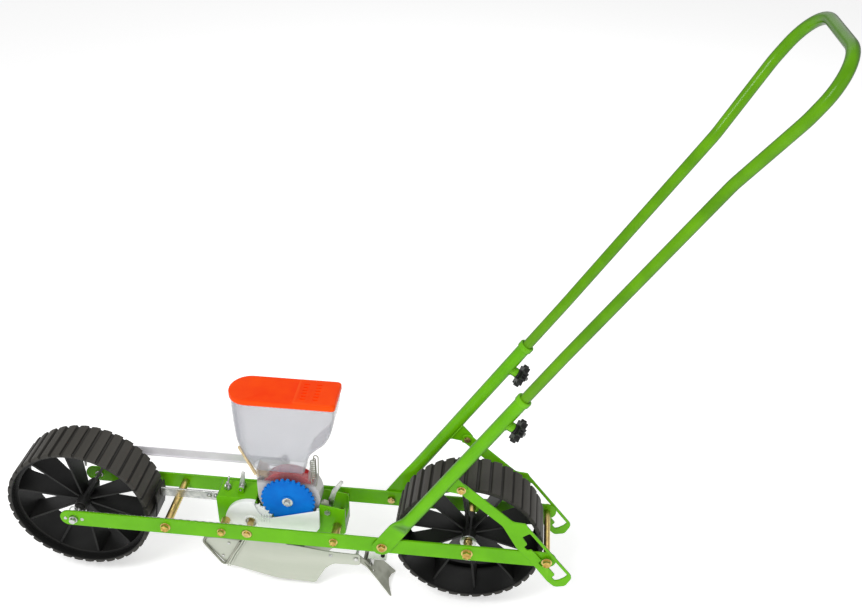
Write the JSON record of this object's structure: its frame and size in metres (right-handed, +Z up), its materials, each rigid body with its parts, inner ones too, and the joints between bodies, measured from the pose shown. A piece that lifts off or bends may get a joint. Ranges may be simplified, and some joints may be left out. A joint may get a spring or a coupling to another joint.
{
  "type": "single-row push seeder",
  "caption": "Walk-behind single-row seeder: lugged wheels between flat rails, clear hopper with gear-driven roller, furrow shoe and looped tube handle.",
  "frame": {"origin": "centre of the bounding box's bottom face; the coverer's tips are the lowest points and the wheels' tread circles touch z = 0.0262 m", "axes": "+X from the front wheel towards the handle (backwards for the machine), +Y towards the row-marker side, +Z up"},
  "size_m": [1.183, 0.2278, 0.9959],
  "materials": {
    "green_paint": "gloss lime green paint",
    "yellow_zinc": "yellow passivated zinc on steel",
    "bright_zinc": "bright zinc on steel",
    "plate_steel": "satin steel plate",
    "black_plastic": "black moulded plastic",
    "orange_plastic": "orange moulded plastic",
    "clear_plastic": "slightly grey clear plastic",
    "white_plastic": "white moulded plastic",
    "blue_plastic": "blue moulded plastic",
    "red_plastic": "dark red moulded plastic",
    "brush_fibre": "beige fibre"
  },
  "bodies": {
    "frame": {"bracket_bolt_left": "yellow_zinc", "bracket_bolt_right": "yellow_zinc", "coverer_pin": "bright_zinc", "drive_bush_left": "yellow_zinc", "drive_bush_right": "yellow_zinc", "drive_chain": "bright_zinc", "front_bearing_left": "bright_zinc", "front_bearing_right": "bright_zinc", "front_spacer_bolt": "yellow_zinc", "front_spacer_tube": "yellow_zinc", "hopper_body": "clear_plastic", "marker_bracket": "green_paint", "marker_pin": "bright_zinc", "rail_left": "green_paint", "rail_right": "green_paint", "rear_axle": "yellow_zinc", "rear_spacer_bolt": "yellow_zinc", "rear_spacer_tube": "yellow_zinc", "roller_housing": "clear_plastic", "scraper_arm": "bright_zinc", "scraper_blade": "black_plastic", "seed_brush": "brush_fibre", "seed_tube": "black_plastic", "shoe_nose": "plate_steel", "shoe_plate_left": "plate_steel", "shoe_plate_right": "plate_steel", "side_cover": "white_plastic", "spring_clip": "bright_zinc", "unit_frame": "green_paint", "unit_front_bolt": "yellow_zinc", "unit_rear_bolt": "yellow_zinc"},
    "front_wheel": {"front_wheel": "black_plastic", "front_axle": "bright_zinc", "front_sprocket": "bright_zinc"},
    "drive": {"drive_shaft": "bright_zinc", "drive_gear": "white_plastic", "drive_sprocket": "bright_zinc"},
    "seed_metering": {"seed_gear": "blue_plastic", "seed_shaft": "bright_zinc", "seed_roller": "red_plastic"},
    "rear_wheel": {"rear_wheel": "black_plastic", "rear_wheel_bush": "bright_zinc"},
    "handle_base": {"socket_left": "green_paint", "socket_right": "green_paint", "ear_bolt_left": "yellow_zinc", "ear_bolt_right": "yellow_zinc"},
    "handle_loop": {"handle_loop": "green_paint"},
    "knob_left": {"knob_left": "black_plastic"},
    "knob_right": {"knob_right": "black_plastic"},
    "stay_left": {"stay_left": "green_paint"},
    "stay_right": {"stay_right": "green_paint"},
    "lid": {"hopper_lid": "orange_plastic"},
    "front_lever": {"front_lever": "bright_zinc"},
    "rear_lever": {"rear_lever": "bright_zinc"},
    "wing_nut": {"wing_nut": "bright_zinc"},
    "marker": {"marker_arm": "bright_zinc"},
    "coverer": {"coverer": "plate_steel", "coverer_tab": "bright_zinc"}
  },
  "joints": [
    {"name": "front_wheel_spin", "type": "hinge", "parent": "frame", "child": "front_wheel", "pos_m": [-0.47049, 0, 0.14722], "axis": [0, 1, 0], "continuous": true},
    {"name": "drive_spin", "type": "hinge", "parent": "frame", "child": "drive", "pos_m": [-0.17959, 0, 0.14722], "axis": [0, 1, 0], "continuous": true},
    {"name": "seed_spin", "type": "hinge", "parent": "frame", "child": "seed_metering", "pos_m": [-0.11599, 0, 0.19622], "axis": [0, 1, 0], "continuous": true},
    {"name": "rear_wheel_spin", "type": "hinge", "parent": "frame", "child": "rear_wheel", "pos_m": [0.17911, 0, 0.14722], "axis": [0, 1, 0], "continuous": true},
    {"name": "handle_tilt", "type": "hinge", "parent": "frame", "child": "handle_base", "pos_m": [0.04251, 0, 0.14722], "axis": [0, 1, 0], "range_deg": [-11, 13]},
    {"name": "handle_height", "type": "slide", "parent": "handle_base", "child": "handle_loop", "axis": [0.541, 0, 0.841], "range_m": [-0.07, 0.07]},
    {"name": "knob_left_turn", "type": "hinge", "parent": "handle_base", "child": "knob_left", "pos_m": [0.24563, -0.068, 0.4131], "axis": [0.841, 0, -0.541], "range_deg": [-360, 360]},
    {"name": "knob_right_turn", "type": "hinge", "parent": "handle_base", "child": "knob_right", "pos_m": [0.24563, 0.068, 0.4131], "axis": [0.841, 0, -0.541], "range_deg": [-360, 360]},
    {"name": "stay_left_swing", "type": "hinge", "parent": "handle_base", "child": "stay_left", "pos_m": [0.16651, -0.059, 0.28672], "axis": [0, 1, 0], "range_deg": [-10.5, 9]},
    {"name": "stay_right_swing", "type": "hinge", "parent": "handle_base", "child": "stay_right", "pos_m": [0.16651, 0.059, 0.28672], "axis": [0, 1, 0], "range_deg": [-10.5, 9]},
    {"name": "lid_lift", "type": "slide", "parent": "frame", "child": "lid", "axis": [0, 0, 1], "range_m": [0, 0.08]},
    {"name": "front_lever_swing", "type": "hinge", "parent": "frame", "child": "front_lever", "pos_m": [-0.19849, 0, 0.19622], "axis": [0, 1, 0], "range_deg": [-30, 40]},
    {"name": "rear_lever_swing", "type": "hinge", "parent": "frame", "child": "rear_lever", "pos_m": [-0.05249, 0, 0.17522], "axis": [0, 1, 0], "range_deg": [-10, 40]},
    {"name": "wing_nut_turn", "type": "hinge", "parent": "frame", "child": "wing_nut", "pos_m": [-0.22249, 0, 0.19222], "axis": [0, 0, 1], "range_deg": [-360, 360]},
    {"name": "marker_swing", "type": "hinge", "parent": "frame", "child": "marker", "pos_m": [-0.14049, 0.066, 0.19422], "axis": [0, 0, 1], "range_deg": [-90, 0]},
    {"name": "coverer_swing", "type": "hinge", "parent": "frame", "child": "coverer", "pos_m": [-0.00749, 0, 0.07522], "axis": [0, 1, 0], "range_deg": [-35, 4]}
  ],
  "couplings": [
    {"joint": "drive_spin", "follows": "front_wheel_spin", "ratio": 1},
    {"joint": "seed_spin", "follows": "front_wheel_spin", "ratio": -0.86207},
    {"joint": "stay_left_swing", "follows": "handle_tilt", "ratio": -0.8},
    {"joint": "stay_right_swing", "follows": "handle_tilt", "ratio": -0.8}
  ]
}
